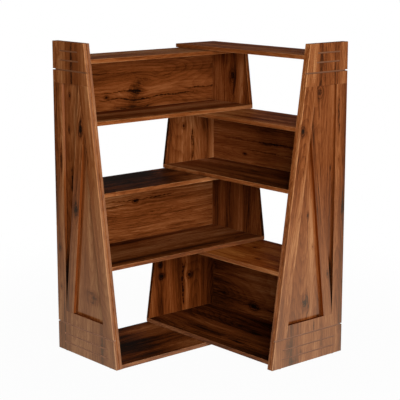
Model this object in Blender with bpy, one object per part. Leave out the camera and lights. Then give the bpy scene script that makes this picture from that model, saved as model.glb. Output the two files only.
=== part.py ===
"""Foldable corner bookshelf, a Blender 4.5 script in metres with +Z up.

Two tapered shelf units stand at right angles. Their boards lie in pairs, one over the
other, at the shared corner, and five short pins on one upright line let the right unit
swing about the left one. The origin is on the floor, under the middle of the outer box.
"""

import math

import bmesh
import bpy
from mathutils import Matrix, Vector

# Driving sizes of the two units
LEFT_LENGTH = 0.805
RIGHT_LENGTH = 0.753
DEPTH_AT_BASE = 0.372
DEPTH_AT_TOP = 0.198
BOARD = 0.015
BACK_PANEL = 0.012
OVERLAY = 0.012
TOP_RISE = 0.042

# Clear heights inside the closed boxes, from the lowest bay up
LOWEST_BAY = 0.316
THIRD_BAY = 0.256
SECOND_BAY = 0.212
HIGHEST_BAY = 0.211

# Pattern of the layered end panels
STILE_WIDTH = 0.056
BRACE_WIDTH = 0.045
BASE_BLOCK = 0.108
TOP_BLOCK = 0.103
RAIL = 0.047
OPEN_GROOVE = 0.0045
SHORT_GROOVE_HEIGHT = 0.0045
SHORT_GROOVE_DEPTH = 0.004
SHORT_GROOVE_START = 0.034
SHORT_GROOVE_PITCH = 0.0345
SHORT_GROOVE_MARGIN = 0.043
EDGE_EASE = 0.0008

# Corner pivot
PIVOT_INSET = 0.050
PAIR_GAP = 0.002
PIN_DIAMETER = 0.008
PIN_GRIP = 0.010
PIN_CHAMFER = 0.0008
BUSH_WALL = 0.002
WASHER_DIAMETER = 0.030

# Glides under the wood that meets the floor
GLIDE_HEIGHT = 0.003
GLIDE_DIAMETER = 0.020
GLIDE_RIM = 0.0007
GLIDE_MARGIN = 0.045

# Clearance between pieces that touch, and the side counts of round pieces
SEAT = 0.0003
ROUND_SIDES = 24
SLOT_END_STEPS = 4
CUT_PAST = 0.002

# Levels from the floor up: name, unit whose board lies on top there, bay above it
LEVELS = (
    ("bottom", "right", LOWEST_BAY),
    ("lower", "left", THIRD_BAY),
    ("middle", "right", SECOND_BAY),
    ("upper", "left", HIGHEST_BAY),
    ("top", "right", TOP_RISE),
)

# The units: which hand each is, its length, and its turn about +Z at the corner
UNITS = {
    "left": {"hand": 1.0, "length": LEFT_LENGTH, "turn": math.pi},
    "right": {"hand": -1.0, "length": RIGHT_LENGTH, "turn": -math.pi / 2.0},
}


def other(unit):
    """The unit on the far side of the corner."""
    return "right" if unit == "left" else "left"


def board_undersides():
    """Underside height of every board, by level and unit, and the full height."""
    heights = {}
    z = GLIDE_HEIGHT
    for level, upper_unit, bay in LEVELS:
        heights[level, other(upper_unit)] = z
        heights[level, upper_unit] = z + BOARD + PAIR_GAP
        z += 2.0 * BOARD + PAIR_GAP + bay
    return heights, z


UNDERSIDE, HEIGHT = board_undersides()


def depth_at(z):
    """Depth of a unit at a height, along its straight slanted front."""
    share = (z - GLIDE_HEIGHT) / (HEIGHT - GLIDE_HEIGHT)
    return DEPTH_AT_BASE + (DEPTH_AT_TOP - DEPTH_AT_BASE) * share


def slant(width):
    """Level width of a strip along the slanted front whose square width is given."""
    slope = (DEPTH_AT_TOP - DEPTH_AT_BASE) / (HEIGHT - GLIDE_HEIGHT)
    return width * math.hypot(1.0, slope)


def board_end(unit):
    """Where a unit's boards end: the inner face of its end board."""
    return UNITS[unit]["length"] - OVERLAY - BOARD


def boxes(unit):
    """Closed boxes of a unit, each as the level below and the level above."""
    pairs = zip(LEVELS, LEVELS[1:])
    return [(low[0], high[0]) for low, high in pairs if low[1] == unit]


# Materials


def material(name, colour, roughness, metallic=0.0):
    """A plain Principled material."""
    made = bpy.data.materials.new(name)
    made.use_nodes = True
    surface = made.node_tree.nodes["Principled BSDF"]
    surface.inputs["Base Color"].default_value = (*colour, 1.0)
    surface.inputs["Roughness"].default_value = roughness
    surface.inputs["Metallic"].default_value = metallic
    return made


def make_materials():
    """The finishes of the bookshelf and its hardware."""
    return {
        "foil": material("walnut_foil", (0.130, 0.045, 0.018), 0.45),
        "overlay": material("walnut_overlay", (0.165, 0.062, 0.027), 0.45),
        "steel": material("zinc_plated_steel", (0.60, 0.60, 0.58), 0.35, 1.0),
        "nylon": material("black_nylon", (0.03, 0.03, 0.03), 0.55),
    }


# Frames and ways to make a piece


def clear_scene():
    """Start from an empty scene."""
    for item in list(bpy.data.objects):
        bpy.data.objects.remove(item, do_unlink=True)


def add_unit_frames():
    """An empty on the pivot line for each unit, with +X along the unit."""
    corner = Vector((LEFT_LENGTH / 2.0, RIGHT_LENGTH / 2.0, 0.0))
    for unit, facts in UNITS.items():
        frame = bpy.data.objects.new(unit + "_unit_frame", None)
        frame.location = corner - Vector((PIVOT_INSET, PIVOT_INSET, 0.0))
        frame.rotation_euler = (0.0, 0.0, facts["turn"])
        bpy.context.scene.collection.objects.link(frame)
        facts["frame"] = frame


def place(unit, along, depth, z):
    """A point in a unit's frame, given by its distances from the back corner."""
    hand = UNITS[unit]["hand"]
    return Vector((along - PIVOT_INSET, hand * (depth - PIVOT_INSET), z))


def finish_object(name, shape, unit, origin, surface=None):
    """Turn a bmesh into an object of a unit, with its origin at the given point."""
    bmesh.ops.recalc_face_normals(shape, faces=shape.faces)
    mesh = bpy.data.meshes.new(name)
    shape.to_mesh(mesh)
    shape.free()
    if surface:
        mesh.materials.append(surface)
    made = bpy.data.objects.new(name, mesh)
    made.parent = UNITS[unit]["frame"]
    made.location = origin
    bpy.context.scene.collection.objects.link(made)
    return made


def ease_edges(piece, width, segments=1):
    """Break a piece's sharp edges."""
    ease = piece.modifiers.new("eased_edges", "BEVEL")
    ease.width = width
    ease.segments = segments
    ease.limit_method = "ANGLE"
    ease.angle_limit = math.radians(30.0)


def sweep_outline(shape, unit, corners, sweep, origin):
    """Add a solid: an outline of unit points, swept by along, depth and height."""
    ring = [shape.verts.new(place(unit, *corner) - origin) for corner in corners]
    face = shape.faces.new(ring)
    swept = bmesh.ops.extrude_face_region(shape, geom=[face])
    moved = [item for item in swept["geom"] if isinstance(item, bmesh.types.BMVert)]
    along, depth, z = sweep
    step = Vector((along, UNITS[unit]["hand"] * depth, z))
    bmesh.ops.translate(shape, verts=moved, vec=step)


def add_slab(name, unit, corners, sweep, surface):
    """A flat piece cut from sheet, with slightly eased edges."""
    origin = place(unit, *corners[0])
    shape = bmesh.new()
    sweep_outline(shape, unit, corners, sweep, origin)
    made = finish_object(name, shape, unit, origin, surface)
    ease_edges(made, EDGE_EASE)
    return made


def upright_rod(height, diameter, base=0.0):
    """A round solid that stands on its frame's Z axis."""
    shape = bmesh.new()
    bmesh.ops.create_cone(
        shape,
        cap_ends=True,
        segments=ROUND_SIDES,
        radius1=diameter / 2.0,
        radius2=diameter / 2.0,
        depth=height,
        matrix=Matrix.Translation((0.0, 0.0, base + height / 2.0)),
    )
    return shape


def upright_ring(height, inner, outer):
    """A ring that stands on its frame's Z axis: a profile spun once round."""
    shape = bmesh.new()
    profile = [
        (inner / 2.0, 0.0),
        (outer / 2.0, 0.0),
        (outer / 2.0, height),
        (inner / 2.0, height),
    ]
    verts = [shape.verts.new((radius, 0.0, z)) for radius, z in profile]
    edges = [shape.edges.new((verts[i - 1], verts[i])) for i in range(len(verts))]
    bmesh.ops.spin(
        shape,
        geom=verts + edges,
        cent=(0.0, 0.0, 0.0),
        axis=(0.0, 0.0, 1.0),
        angle=2.0 * math.pi,
        steps=ROUND_SIDES,
        use_merge=True,
    )
    return shape


def add_round(name, shape, unit, origin, surface):
    """A turned piece, shaded smooth with sharp rims."""
    made = finish_object(name, shape, unit, origin, surface)
    made.data.shade_smooth()
    made.data.set_sharp_from_angle(angle=math.radians(40.0))
    return made


def cut_with(piece, shape, unit, origin, label):
    """Cut a piece with a hidden cutter that rides on its unit."""
    cutter = finish_object(piece.name + "_" + label, shape, unit, origin)
    cutter.hide_render = True
    cutter.display_type = "WIRE"
    cut = piece.modifiers.new(label, "BOOLEAN")
    cut.operation = "DIFFERENCE"
    cut.solver = "EXACT"
    cut.object = cutter


# Boards and closed boxes


def cut_pivot_hole(board, unit, level):
    """Blind hole for the pin, or for the bush round it, towards the paired board."""
    underside = UNDERSIDE[level, unit]
    diameter = PIN_DIAMETER + 2.0 * SEAT
    if unit == "right":
        diameter += 2.0 * (BUSH_WALL + SEAT)
    base = underside - CUT_PAST
    if UNDERSIDE[level, other(unit)] > underside:
        base = underside + BOARD - PIN_GRIP
    shape = upright_rod(PIN_GRIP + CUT_PAST, diameter)
    origin = place(unit, PIVOT_INSET, PIVOT_INSET, base)
    cut_with(board, shape, unit, origin, "pivot_hole")


def add_shelf(unit, level, surface):
    """One board, from the corner to the end board, with its pivot hole."""
    z = UNDERSIDE[level, unit]
    length = board_end(unit) - SEAT
    depth = depth_at(z + BOARD)
    corners = [(0.0, 0.0, z), (length, 0.0, z), (length, depth, z), (0.0, depth, z)]
    name = unit + "_" + level + "_shelf"
    board = add_slab(name, unit, corners, (0.0, 0.0, BOARD), surface)
    cut_pivot_hole(board, unit, level)


def add_box(unit, label, below, above, surface):
    """Inner side and back panel of one closed box, standing between two boards."""
    low = UNDERSIDE[below, unit] + BOARD + SEAT
    high = UNDERSIDE[above, unit] - SEAT
    side_corners = [
        (0.0, 0.0, low),
        (0.0, depth_at(low), low),
        (0.0, depth_at(high), high),
        (0.0, 0.0, high),
    ]
    name = unit + "_" + label + "_inner_side"
    add_slab(name, unit, side_corners, (BOARD, 0.0, 0.0), surface)
    start = BOARD + SEAT
    end = board_end(unit) - SEAT
    back_corners = [
        (start, 0.0, low),
        (end, 0.0, low),
        (end, 0.0, high),
        (start, 0.0, high),
    ]
    name = unit + "_" + label + "_back_panel"
    add_slab(name, unit, back_corners, (0.0, BACK_PANEL, 0.0), surface)


# Layered end panels


def meet(first, second):
    """Crossing point of two lines in the plane, each given by two points."""
    (ax, az), (bx, bz) = first
    (cx, cz), (dx, dz) = second
    cross = (bx - ax) * (dz - cz) - (bz - az) * (dx - cx)
    share = ((cx - ax) * (dz - cz) - (cz - az) * (dx - cx)) / cross
    return (ax + share * (bx - ax), az + share * (bz - az))


def stile_inner(z):
    """Inner edge of the front stile, which runs parallel to the slanted front."""
    return depth_at(z) - slant(STILE_WIDTH)


def full_width(low, high):
    """Outline from the back edge to the slanted front between two heights."""
    return [(0.0, low), (depth_at(low), low), (depth_at(high), high), (0.0, high)]


def brace_outline(low, high):
    """Diagonal brace: its back edge joins two inner corners, its front is parallel."""
    foot = Vector((STILE_WIDTH + SEAT, low))
    head = Vector((stile_inner(high) - slant(SEAT), high))
    run = (head - foot).normalized()
    shift = Vector((run.y, -run.x)) * BRACE_WIDTH
    front_edge = (foot + shift, head + shift)
    stile_edge = ((stile_inner(low) - slant(SEAT), low), head)
    rail_edge = ((0.0, low), (1.0, low))
    return [foot, meet(front_edge, rail_edge), meet(front_edge, stile_edge), head]


def overlay_outlines():
    """Outline of each overlay piece of an end panel, as depth and height."""
    block_top = GLIDE_HEIGHT + BASE_BLOCK
    foot = block_top + OPEN_GROOVE
    rail_top = foot + RAIL
    block_foot = HEIGHT - TOP_BLOCK
    band_top = block_foot - OPEN_GROOVE
    band_foot = band_top - RAIL
    head = band_foot - SEAT
    return {
        "base_block": full_width(GLIDE_HEIGHT, block_top),
        "bottom_rail": [
            (STILE_WIDTH + SEAT, foot),
            (stile_inner(foot) - slant(SEAT), foot),
            (stile_inner(rail_top) - slant(SEAT), rail_top),
            (STILE_WIDTH + SEAT, rail_top),
        ],
        "front_stile": [
            (stile_inner(foot), foot),
            (depth_at(foot), foot),
            (depth_at(head), head),
            (stile_inner(head), head),
        ],
        "back_stile": [
            (0.0, foot),
            (STILE_WIDTH, foot),
            (STILE_WIDTH, head),
            (0.0, head),
        ],
        "brace": brace_outline(rail_top + SEAT, head),
        "top_band": full_width(band_foot, band_top),
        "top_block": full_width(block_foot, HEIGHT),
    }


def slot_outline(z):
    """Outline of a routed groove with round ends, centred on a height."""
    radius = SHORT_GROOVE_HEIGHT / 2.0
    back_end = SHORT_GROOVE_MARGIN + radius
    front_end = depth_at(z) - SHORT_GROOVE_MARGIN - radius
    points = []
    for centre, first_angle in ((front_end, -90.0), (back_end, 90.0)):
        for step in range(SLOT_END_STEPS + 1):
            angle = math.radians(first_angle + 180.0 * step / SLOT_END_STEPS)
            depth = centre + radius * math.cos(angle)
            points.append((depth, z + radius * math.sin(angle)))
    return points


def cut_short_grooves(piece, unit, heights):
    """Rout short grooves into the outer face of a block."""
    start = UNITS[unit]["length"] - SHORT_GROOVE_DEPTH
    origin = place(unit, start, 0.0, heights[0])
    shape = bmesh.new()
    for z in heights:
        corners = [(start, depth, height) for depth, height in slot_outline(z)]
        sweep = (SHORT_GROOVE_DEPTH + CUT_PAST, 0.0, 0.0)
        sweep_outline(shape, unit, corners, sweep, origin)
    cut_with(piece, shape, unit, origin, "short_grooves")


def add_end_panel(unit, finishes):
    """End board with its overlay of blocks, band, stiles, brace and rail."""
    along = board_end(unit)
    corners = [(along, depth, z) for depth, z in full_width(GLIDE_HEIGHT, HEIGHT)]
    name = unit + "_end_board"
    add_slab(name, unit, corners, (BOARD, 0.0, 0.0), finishes["foil"])
    first = SHORT_GROOVE_START
    second = SHORT_GROOVE_START + SHORT_GROOVE_PITCH
    grooves = {
        "base_block": (GLIDE_HEIGHT + first, GLIDE_HEIGHT + second),
        "top_block": (HEIGHT - first, HEIGHT - second),
    }
    face = along + BOARD + SEAT
    for label, outline in overlay_outlines().items():
        corners = [(face, depth, z) for depth, z in outline]
        name = unit + "_end_" + label
        sweep = (OVERLAY - SEAT, 0.0, 0.0)
        piece = add_slab(name, unit, corners, sweep, finishes["overlay"])
        if label in grooves:
            cut_short_grooves(piece, unit, grooves[label])


# Pivot and glides


def add_pivot(level, upper_unit, finishes):
    """Pin, washer and bush of one board pair, on the line that all pairs share."""
    gap_low = UNDERSIDE[level, other(upper_unit)] + BOARD
    gap_high = UNDERSIDE[level, upper_unit]
    bore = PIN_DIAMETER + 2.0 * SEAT

    pin_low = gap_low - PIN_GRIP + SEAT
    pin_high = gap_high + PIN_GRIP - SEAT
    shape = upright_rod(pin_high - pin_low, PIN_DIAMETER)
    origin = place("left", PIVOT_INSET, PIVOT_INSET, pin_low)
    name = "pivot_pin_" + level
    pin = add_round(name, shape, "left", origin, finishes["steel"])
    ease_edges(pin, PIN_CHAMFER)

    shape = upright_ring(PAIR_GAP - 2.0 * SEAT, bore, WASHER_DIAMETER)
    origin = place("left", PIVOT_INSET, PIVOT_INSET, gap_low + SEAT)
    add_round("pivot_washer_" + level, shape, "left", origin, finishes["nylon"])

    bush_low = gap_high if upper_unit == "right" else gap_low - PIN_GRIP + SEAT
    shape = upright_ring(PIN_GRIP - SEAT, bore, bore + 2.0 * BUSH_WALL)
    origin = place("right", PIVOT_INSET, PIVOT_INSET, bush_low)
    add_round("pivot_bush_" + level, shape, "right", origin, finishes["nylon"])


def glide_places(unit):
    """Where glides stand: under the end panel, and under the left bottom board."""
    back = GLIDE_MARGIN
    front = DEPTH_AT_BASE - GLIDE_MARGIN
    places = {"end": UNITS[unit]["length"] - (OVERLAY + BOARD) / 2.0}
    if unit == "left":
        places["corner"] = GLIDE_MARGIN
        places["middle"] = UNITS[unit]["length"] / 2.0
    found = {}
    for label, along in places.items():
        found[label + "_back"] = (along, back)
        found[label + "_front"] = (along, front)
    return found


def add_glides(unit, surface):
    """Round glides that carry a unit, just under the wood."""
    for label, (along, depth) in glide_places(unit).items():
        shape = upright_rod(GLIDE_HEIGHT - SEAT, GLIDE_DIAMETER)
        origin = place(unit, along, depth, 0.0)
        name = unit + "_glide_" + label
        glide = add_round(name, shape, unit, origin, surface)
        ease_edges(glide, GLIDE_RIM)


def build():
    """Build the whole bookshelf."""
    clear_scene()
    finishes = make_materials()
    add_unit_frames()
    for unit in UNITS:
        for level, _, _ in LEVELS:
            add_shelf(unit, level, finishes["foil"])
        for label, (below, above) in zip(("low", "high"), boxes(unit)):
            add_box(unit, label, below, above, finishes["foil"])
        add_end_panel(unit, finishes)
        add_glides(unit, finishes["nylon"])
    for level, upper_unit, _ in LEVELS:
        add_pivot(level, upper_unit, finishes)


build()
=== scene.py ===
"""Dressed scene of a foldable corner bookshelf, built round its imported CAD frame.

Every wooden piece is rebuilt in mesh code at the CAD's own size, with rounded edges,
banded fronts and a procedural walnut print. Units are metres and +Z is up. A point on
a unit is given by its distance along the unit from the back corner, its depth from the
unit's back plane, and its height.
"""

import math
import random

import bmesh
import bpy
from mathutils import Matrix, Vector


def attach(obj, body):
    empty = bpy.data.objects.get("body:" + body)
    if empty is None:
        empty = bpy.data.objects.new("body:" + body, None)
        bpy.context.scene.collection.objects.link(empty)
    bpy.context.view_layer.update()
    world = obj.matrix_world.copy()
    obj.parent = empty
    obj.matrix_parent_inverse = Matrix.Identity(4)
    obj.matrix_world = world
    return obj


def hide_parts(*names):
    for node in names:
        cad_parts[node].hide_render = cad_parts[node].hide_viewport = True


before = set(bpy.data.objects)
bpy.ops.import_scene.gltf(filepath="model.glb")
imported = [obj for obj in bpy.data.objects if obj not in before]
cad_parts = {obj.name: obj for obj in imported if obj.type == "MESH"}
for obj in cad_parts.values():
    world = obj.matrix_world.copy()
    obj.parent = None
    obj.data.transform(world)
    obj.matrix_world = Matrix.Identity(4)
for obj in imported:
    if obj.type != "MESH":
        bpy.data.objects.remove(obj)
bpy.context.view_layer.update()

# Sizes of the two units, as in the CAD source
LENGTH = {"left": 0.805, "right": 0.753}
DEPTH_AT_BASE = 0.372
DEPTH_AT_TOP = 0.198
BOARD = 0.015
BACK_PANEL = 0.012
OVERLAY = 0.012
TOP_RISE = 0.042
# Each level, the unit whose board lies on top there, and the clear height above the pair
LEVELS = (
    ("bottom", "right", 0.316),
    ("lower", "left", 0.256),
    ("middle", "right", 0.212),
    ("upper", "left", 0.211),
    ("top", "right", TOP_RISE),
)
STILE_WIDTH = 0.056
BRACE_WIDTH = 0.045
BASE_BLOCK = 0.108
TOP_BLOCK = 0.103
RAIL = 0.047
OPEN_GROOVE = 0.0045
SHORT_GROOVE_HEIGHT = 0.0045
SHORT_GROOVE_DEPTH = 0.004
SHORT_GROOVE_START = 0.034
SHORT_GROOVE_PITCH = 0.0345
SHORT_GROOVE_MARGIN = 0.043
PIVOT_INSET = 0.050
PAIR_GAP = 0.002
PIN_DIAMETER = 0.008
PIN_GRIP = 0.010
BUSH_WALL = 0.002
GLIDE_HEIGHT = 0.003
SEAT = 0.0003

# Strip in an open cut: how far it runs into its block, and where it starts and stops
TONGUE_ROOT = 0.0025
TONGUE_BACK = 0.012
TONGUE_FRONT = 0.002

# Finish of the edges
BOARD_RADIUS = 0.0009
OVERLAY_RADIUS = 0.0022
BACK_RADIUS = 0.0012
GROOVE_RADIUS = 0.0007
SEAM_RADIUS = 0.0005
FRONT_SEAM_RADIUS = 0.0009
BAND_SEAM_RADIUS = 0.00012
TONGUE_RADIUS = 0.00035
BAND_THICKNESS = 0.0012
EDGE_SEGMENTS = 3
SLOT_END_STEPS = 10
HOLE_SIDES = 32
CUT_PAST = 0.002
SHARP_ANGLE = math.radians(30.0)
SMOOTH_ANGLE = math.radians(50.0)

# Margins of the tests for where an edge or a face lies
ON_FACE = 1e-6
ON_PLANE = 1e-5
PAST_GROOVE = 1e-4
OFF_EDGE = 0.001

# How far edges are painted pale, as wear and as a painted highlight: those of the overlay, and its
# long outer front corner
OVERLAY_WEAR_AND_HIGHLIGHT = 0.4
FRONT_WEAR_AND_HIGHLIGHT = {"left": 0.7, "right": 1.25}

# Material indices inside a wooden piece; the last one marks rounded edges for a while
WOOD, BANDING, CORE, WALL, ROUNDED = range(5)

# Look of the walnut print: its tones by position, the colours laid over it (a painted sheen's
# pale colour, and amber), its gloss, and how far in metres the print of a piece may be shifted on
# each axis
WALNUT_TONES = (
    (0.00, (0.0085, 0.0034, 0.0016)),
    (0.16, (0.0320, 0.0084, 0.0021)),
    (0.34, (0.1000, 0.0230, 0.0046)),
    (0.50, (0.1780, 0.0445, 0.0094)),
    (0.66, (0.2550, 0.0730, 0.0180)),
    (0.82, (0.3500, 0.1250, 0.0400)),
    (1.00, (0.5000, 0.2200, 0.0850)),
)
PAINTED_SHEEN_COLOUR = (0.54, 0.44, 0.32, 1.0)
AMBER = (1.0, 0.72, 0.34, 1.0)
WOOD_GLOSS = 0.002
PRINT_REACH = 40.0

# Painted sheen on the lower end panels, a pale veil for the floor's reflection: where it ends, and
# its strength at foot and end; it is left out where painted shade lies
PAINTED_SHEEN_TOP = 0.75
END_PAINTED_SHEEN = {"left": (0.24, 0.006), "right": (0.20, 0.014)}
EDGING_PAINTED_SHEEN = {"left": (0.13, 0.09), "right": (0.08, 0.0)}
STILE_WALL_PAINTED_SHEEN = (0.0, 0.06)
SHEEN_FREE_SHADE = 0.12

# Darkening in tone: painted shade in the pocket corners, the narrow pocket and on the stile wall,
# and the dark seam of the edging
POCKET_DARK = {"left": (0.26, 0.16), "right": (0.17, 0.03)}
POCKET_FOOT_DARK = 0.4
STILE_CORNER_SHARE = 0.6
WALL_DARK = 0.30
WALL_FOOT_DARK = 0.50
SEAM_DARK = 0.16
# Reach of the painted shade in the corners from brace, rail and stile, and the reach of the seam
BRACE_REACH = 0.019
RAIL_REACH = 0.014
STILE_REACH = 0.012
SEAM_REACH = (0.0005, 0.0040)
# Where painted shade sets in and is full: behind the brace's wall, and down the height
BEHIND_BRACE = (-0.020, -0.040)
POCKET_FADE = (0.95, 0.62)
POCKET_FOOT = (0.42, 0.26)
WALL_FADE = (0.80, 0.50)
WALL_FOOT = (0.46, 0.30)

# Other materials: tones by position, and the fibreboard's tint by height on each unit, lighter and
# greyer low down as a painted reflection of the floor
CORE_TONES = ((0.3, (0.24, 0.120, 0.071)), (0.7, (0.34, 0.182, 0.110)))
CORE_SHEEN_TINTS = {
    "left": ((0.15, (1.50, 1.50, 1.50)), (1.0, (0.95, 0.72, 0.50))),
    "right": ((0.15, (1.06, 1.06, 1.08)), (1.0, (0.78, 0.66, 0.55))),
}
NYLON_TONES = ((0.3, (0.020, 0.019, 0.018)), (0.7, (0.042, 0.040, 0.038)))
STEEL_TONES = ((0.3, (0.50, 0.50, 0.47)), (0.7, (0.66, 0.65, 0.61)))

# Light and floor
WHITE = (1.0, 1.0, 1.0, 1.0)
KEY_AZIMUTH = math.radians(-28.0)
KEY_ELEVATION = math.radians(14.0)
KEY_POWER = 155.0
BACK_AZIMUTH = math.radians(135.0)
BACK_ELEVATION = math.radians(8.0)
BACK_POWER = 60.0
LAMP_DISTANCE = 4.2
LAMP_SIZE = 2.1
AMBIENT_HEIGHTS = (0.1, 0.7)
AMBIENT_LOW = 0.42
AMBIENT_HIGH = 0.10
FLOOR_SIZE = 120.0
FLOOR_WHITE = 0.80
FLOOR_GLOW = 0.965
FLOOR_GLOW_FAR = 1.0
FLOOR_GLOW_REACH = (0.6, 2.2)

# Camera, fitted to the corners of the photographed object with no lens shift
CAMERA_PLACE = (-3.0719, -3.5580, 1.5635)
CAMERA_HEADING = math.radians(49.171)
CAMERA_PITCH = math.radians(11.627)
CAMERA_LENS = 113.25
CAMERA_CLIP_END = 300.0

# Slow changes of tone, in hundredths: grain axis, where it starts and ends, the change there.
# Many are painted shade and light, such as the shadow under a shelf on a back panel and darker ends
# of shelves; others are the print's own tone.
# Axis 0 is along a board or panel and up an upright; axis 1 is depth, or a panel's height.
SHADE_AND_TONE_FADES = {
    "left_back_stile": [(0, 30, 80, 4, -10)],
    "left_end_board": [(0, 50, 95, 2, 6)],
    "right_end_board": [(0, 60, 95, 0, 9)],
    "left_edging": [(0, 25, 95, -16, 12), (0, 104, 112, 0, -10)],
    "right_edging": [(0, 60, 90, 0, 5)],
    "right_front_stile": [(0, 20, 50, 3, -3)],
    "left_high_back": [(0, 5, 30, 8, 0), (0, 50, 64, 0, -8), (1, 93, 110, 6, -6)],
    "left_low_back": [(0, 5, 20, 12, 0), (0, 35, 60, -6, 12)],
    "right_high_back": [(0, 22, 34, 0, -9), (0, 37, 45, 0, 12), (1, 70, 86, 6, -12)],
    "right_low_back": [(0, 6, 30, -17, 8), (1, 7, 17, -15, 24), (1, 17, 23, 0, -38)],
    "left_bottom_shelf": [(0, 40, 62, 17, -29)],
    "left_lower_shelf": [(0, 15, 50, 8, -6)],
    "left_middle_shelf": [(0, 31, 43, 17, -20), (0, 56, 70, 0, 20)],
    "left_upper_shelf": [(0, 30, 60, 5, -9)],
    "right_bottom_shelf": [(0, 25, 70, 0, -5), (1, 5, 30, -7, 5)],
    "right_lower_shelf": [(0, 30, 60, 5, -14)],
    "right_middle_shelf": [(0, 5, 70, 13, -17)],
    "right_upper_shelf": [(0, 24, 46, 30, -18)],
    "left_high_side": [(0, 104, 112, 3, -13), (1, 5, 8, 0, -10), (1, 11, 14, 0, 10)],
    "left_low_side": [(0, 55, 64, 0, -16), (1, 6, 11, 0, 8), (1, 16, 23, 0, -18)],
    "right_high_side": [(1, 0, 7, 32, -3)],
    "right_low_side": [(1, 0, 10, -14, -5), (1, 13, 17, 0, 15), (1, 20, 26, 0, -5)],
}

# Knots and cracks of each piece, with lengths in millimetres. A knot is two face places,
# half length, half width, darkness and bend, if any; a crack is two face places, half
# length, width, bow and darkness. Face places are depth and height on an upright, along
# and height on a back panel, and along and depth on a board.
KNOTS = {
    "left_end_board": [
        (89, 1000, 12, 6, 0.50, 1.0), (81, 871, 12, 5, 0.40, 1.0), (203, 264, 10, 28, 0.42, 0.2),
        # (258, 300, ...) is painted shade on the pocket floor beside the front stile
        (222, 247, 12, 36, 0.46, 0.2), (212, 228, 8, 26, 0.38, 0.2), (258, 300, 110, 9, 0.24),
        # (60, 210, ...) is painted shade at the foot of the narrow pocket
        (200, 420, 120, 10, -0.12), (60, 210, 110, 8, 0.55),
    ],
    "left_brace": [(172, 886, 26, 14, 0.62, 0.8), (134, 576, 22, 14, 0.48, 0.8)],
    "left_front_stile": [(222, 740, 110, 6, 0.10), (290, 300, 160, 7, 0.08)],
    "left_back_stile": [
        (43, 290, 220, 6, 0.24), (42, 761, 34, 7, 0.50, 0.6), (23, 410, 12, 7, 0.40, 0.8),
        (27, 256, 12, 7, 0.40, 0.8),
    ],
    "left_base": [(285, 56, 140, 14, 0.44), (45, 56, 130, 8, 0.20), (180, 60, 90, 15, -0.08)],
    "left_top": [(31, 1120, 140, 8, 0.16), (120, 1130, 180, 9, 0.28), (100, 1120, 120, 7, -0.14)],
    "right_end_board": [
        (134, 1020, 20, 17, 0.42, 1.0), (70, 732, 10, 4, 0.34, 1.0), (194, 229, 26, 20, 0.62, 0.4),
        (187, 565, 12, 6, 0.35, 1.0), (158, 441, 10, 5, 0.35, 1.0), (168, 310, 110, 11, 0.20),
        # (60, 210, ...) is painted shade at the foot of the narrow pocket
        (60, 210, 110, 8, 0.60),
    ],
    "right_brace": [(87, 326, 14, 6, 0.45, 1.0), (150, 880, 140, 10, -0.10)],
    "right_front_stile": [(231, 886, 16, 12, 0.75, 0.6), (305, 358, 12, 4, 0.22, 1.0)],
    "right_back_stile": [
        (40, 575, 200, 50, 0.10), (42, 927, 70, 6, 0.24, 0.2), (39, 767, 14, 5, 0.26, 1.0),
        (9, 579, 20, 5, 0.40, 0.8), (39, 235, 60, 6, 0.16),
    ],
    "right_base": [
        (155, 130, 45, 10, 0.32, 0.2), (285, 72, 24, 10, 0.34, 0.5), (267, 18, 14, 14, 0.38, 0.5),
        (225, 45, 20, 20, 0.22, 0.3),
    ],
    "right_top": [
        (176, 1120, 160, 18, -0.22), (122, 1120, 150, 20, 0.17), (76, 1120, 150, 8, -0.18),
        (30, 1120, 150, 18, 0.08),
    ],
    "left_high_back": [
        (425, 965, 60, 55, 0.22), (422, 977, 34, 24, 0.20, 0.8), (436, 935, 32, 18, 0.24, 0.4),
        (410, 1000, 18, 18, 0.22, 0.3), (377, 1018, 22, 12, 0.14, 1.0), (565, 968, 11, 9, 0.36, 0.8),
        (428, 918, 30, 6, 0.28, 0.8), (640, 1026, 45, 6, 0.18),
    ],
    "left_low_back": [
        (429, 538, 14, 8, 0.55, 0.8), (342, 484, 10, 3, 0.22, 0.5), (200, 600, 150, 12, 0.08),
    ],
    "right_high_back": [
        (207, 710, 10, 6, 0.35, 1.0), (430, 840, 120, 8, 0.12), (640, 760, 300, 120, 0.30),
    ],
    "right_low_back": [
        (270, 74, 26, 15, 0.66, 0.5), (85, 97, 10, 10, 0.25, 0.6), (300, 180, 220, 12, 0.10),
    ],
    "left_high_side": [
        (135, 1026, 26, 17, 0.42, 0.6), (130, 1000, 120, 20, 0.12), (185, 1000, 120, 8, -0.10),
    ],
    "left_low_side": [(104, 491, 150, 20, -0.06), (238, 491, 150, 14, 0.16)],
    "right_high_side": [(177, 820, 12, 9, 0.55, 0.8), (57, 742, 120, 26, -0.10)],
    "right_low_side": [
        (304, 252, 11, 10, 0.62, 0.8), (297, 203, 12, 13, 0.70, 0.7), (148, 185, 14, 14, 0.66, 0.7),
        (154, 130, 110, 16, -0.12),
    ],
    "left_middle_shelf": [(730, 120, 150, 160, 0.16), (300, 180, 10, 6, 0.30, 1.0)],
    "right_lower_shelf": [
        (386, 119, 20, 16, 0.60, 0.6), (524, 238, 40, 14, 0.55, 0.5), (300, 150, 30, 10, 0.40, 0.5),
    ],
    "right_bottom_shelf": [
        (262, 284, 36, 7, 0.30, 0.6), (495, 298, 30, 6, 0.28, 0.6), (451, 175, 24, 9, 0.30, 1.0),
    ],
    "right_upper_shelf": [(330, 110, 12, 7, 0.30, 1.0)],
    "left_lower_shelf": [(340, 120, 14, 7, 0.26, 1.0)],
    # Painted shade at the foot of the stile walls, drawn as knots
    "left_stile_wall": [(60, 200, 150, 60, 0.45)],
    "right_stile_wall": [(60, 200, 150, 60, 0.45)],
}
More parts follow.
